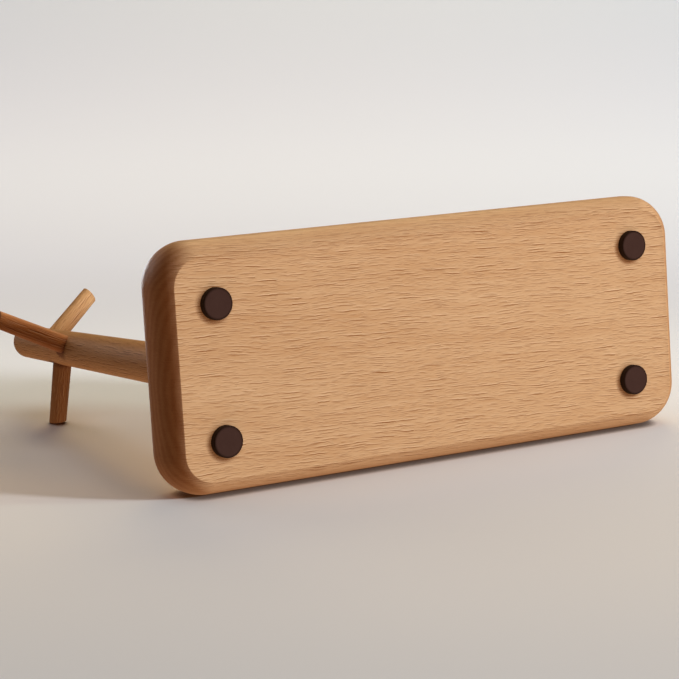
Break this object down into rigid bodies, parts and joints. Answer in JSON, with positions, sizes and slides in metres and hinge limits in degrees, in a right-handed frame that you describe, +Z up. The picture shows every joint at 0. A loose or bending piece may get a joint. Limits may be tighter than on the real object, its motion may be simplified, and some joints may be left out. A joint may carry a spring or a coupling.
{
  "type": "tabletop hanging stand",
  "caption": "Small beech tabletop stand: a rounded rectangular board on rubber pads, with a tapered post near one end that carries upward-sloping round pegs.",
  "frame": {"origin": "centre of the base board's outline, on the plane of the four pads' faces that the stand rests on", "axes": "+Z up, along the post; +X along the board towards its free end, away from the post; Y across the board"},
  "size_m": [0.2673, 0.1, 0.177],
  "materials": {
    "board_wood": "oiled plain-sawn beech, grain along the board, satin",
    "post_wood": "oiled turned beech, grain along the post, satin",
    "peg_wood": "oiled beech dowel, grain along the peg, satin",
    "pad_rubber": "dark brown dense foam rubber, matt",
    "pad_adhesive": "pressed adhesive disc, hidden above each pad"
  },
  "bodies": {
    "root": {"base_board": "board_wood", "post": "post_wood", "peg_lower": "peg_wood", "peg_middle": "peg_wood", "peg_upper": "peg_wood", "foot_pad_front_left": "pad_rubber", "foot_pad_front_right": "pad_rubber", "foot_pad_back_left": "pad_rubber", "foot_pad_back_right": "pad_rubber", "pad_adhesive_discs": "pad_adhesive"}
  },
  "joints": []
}
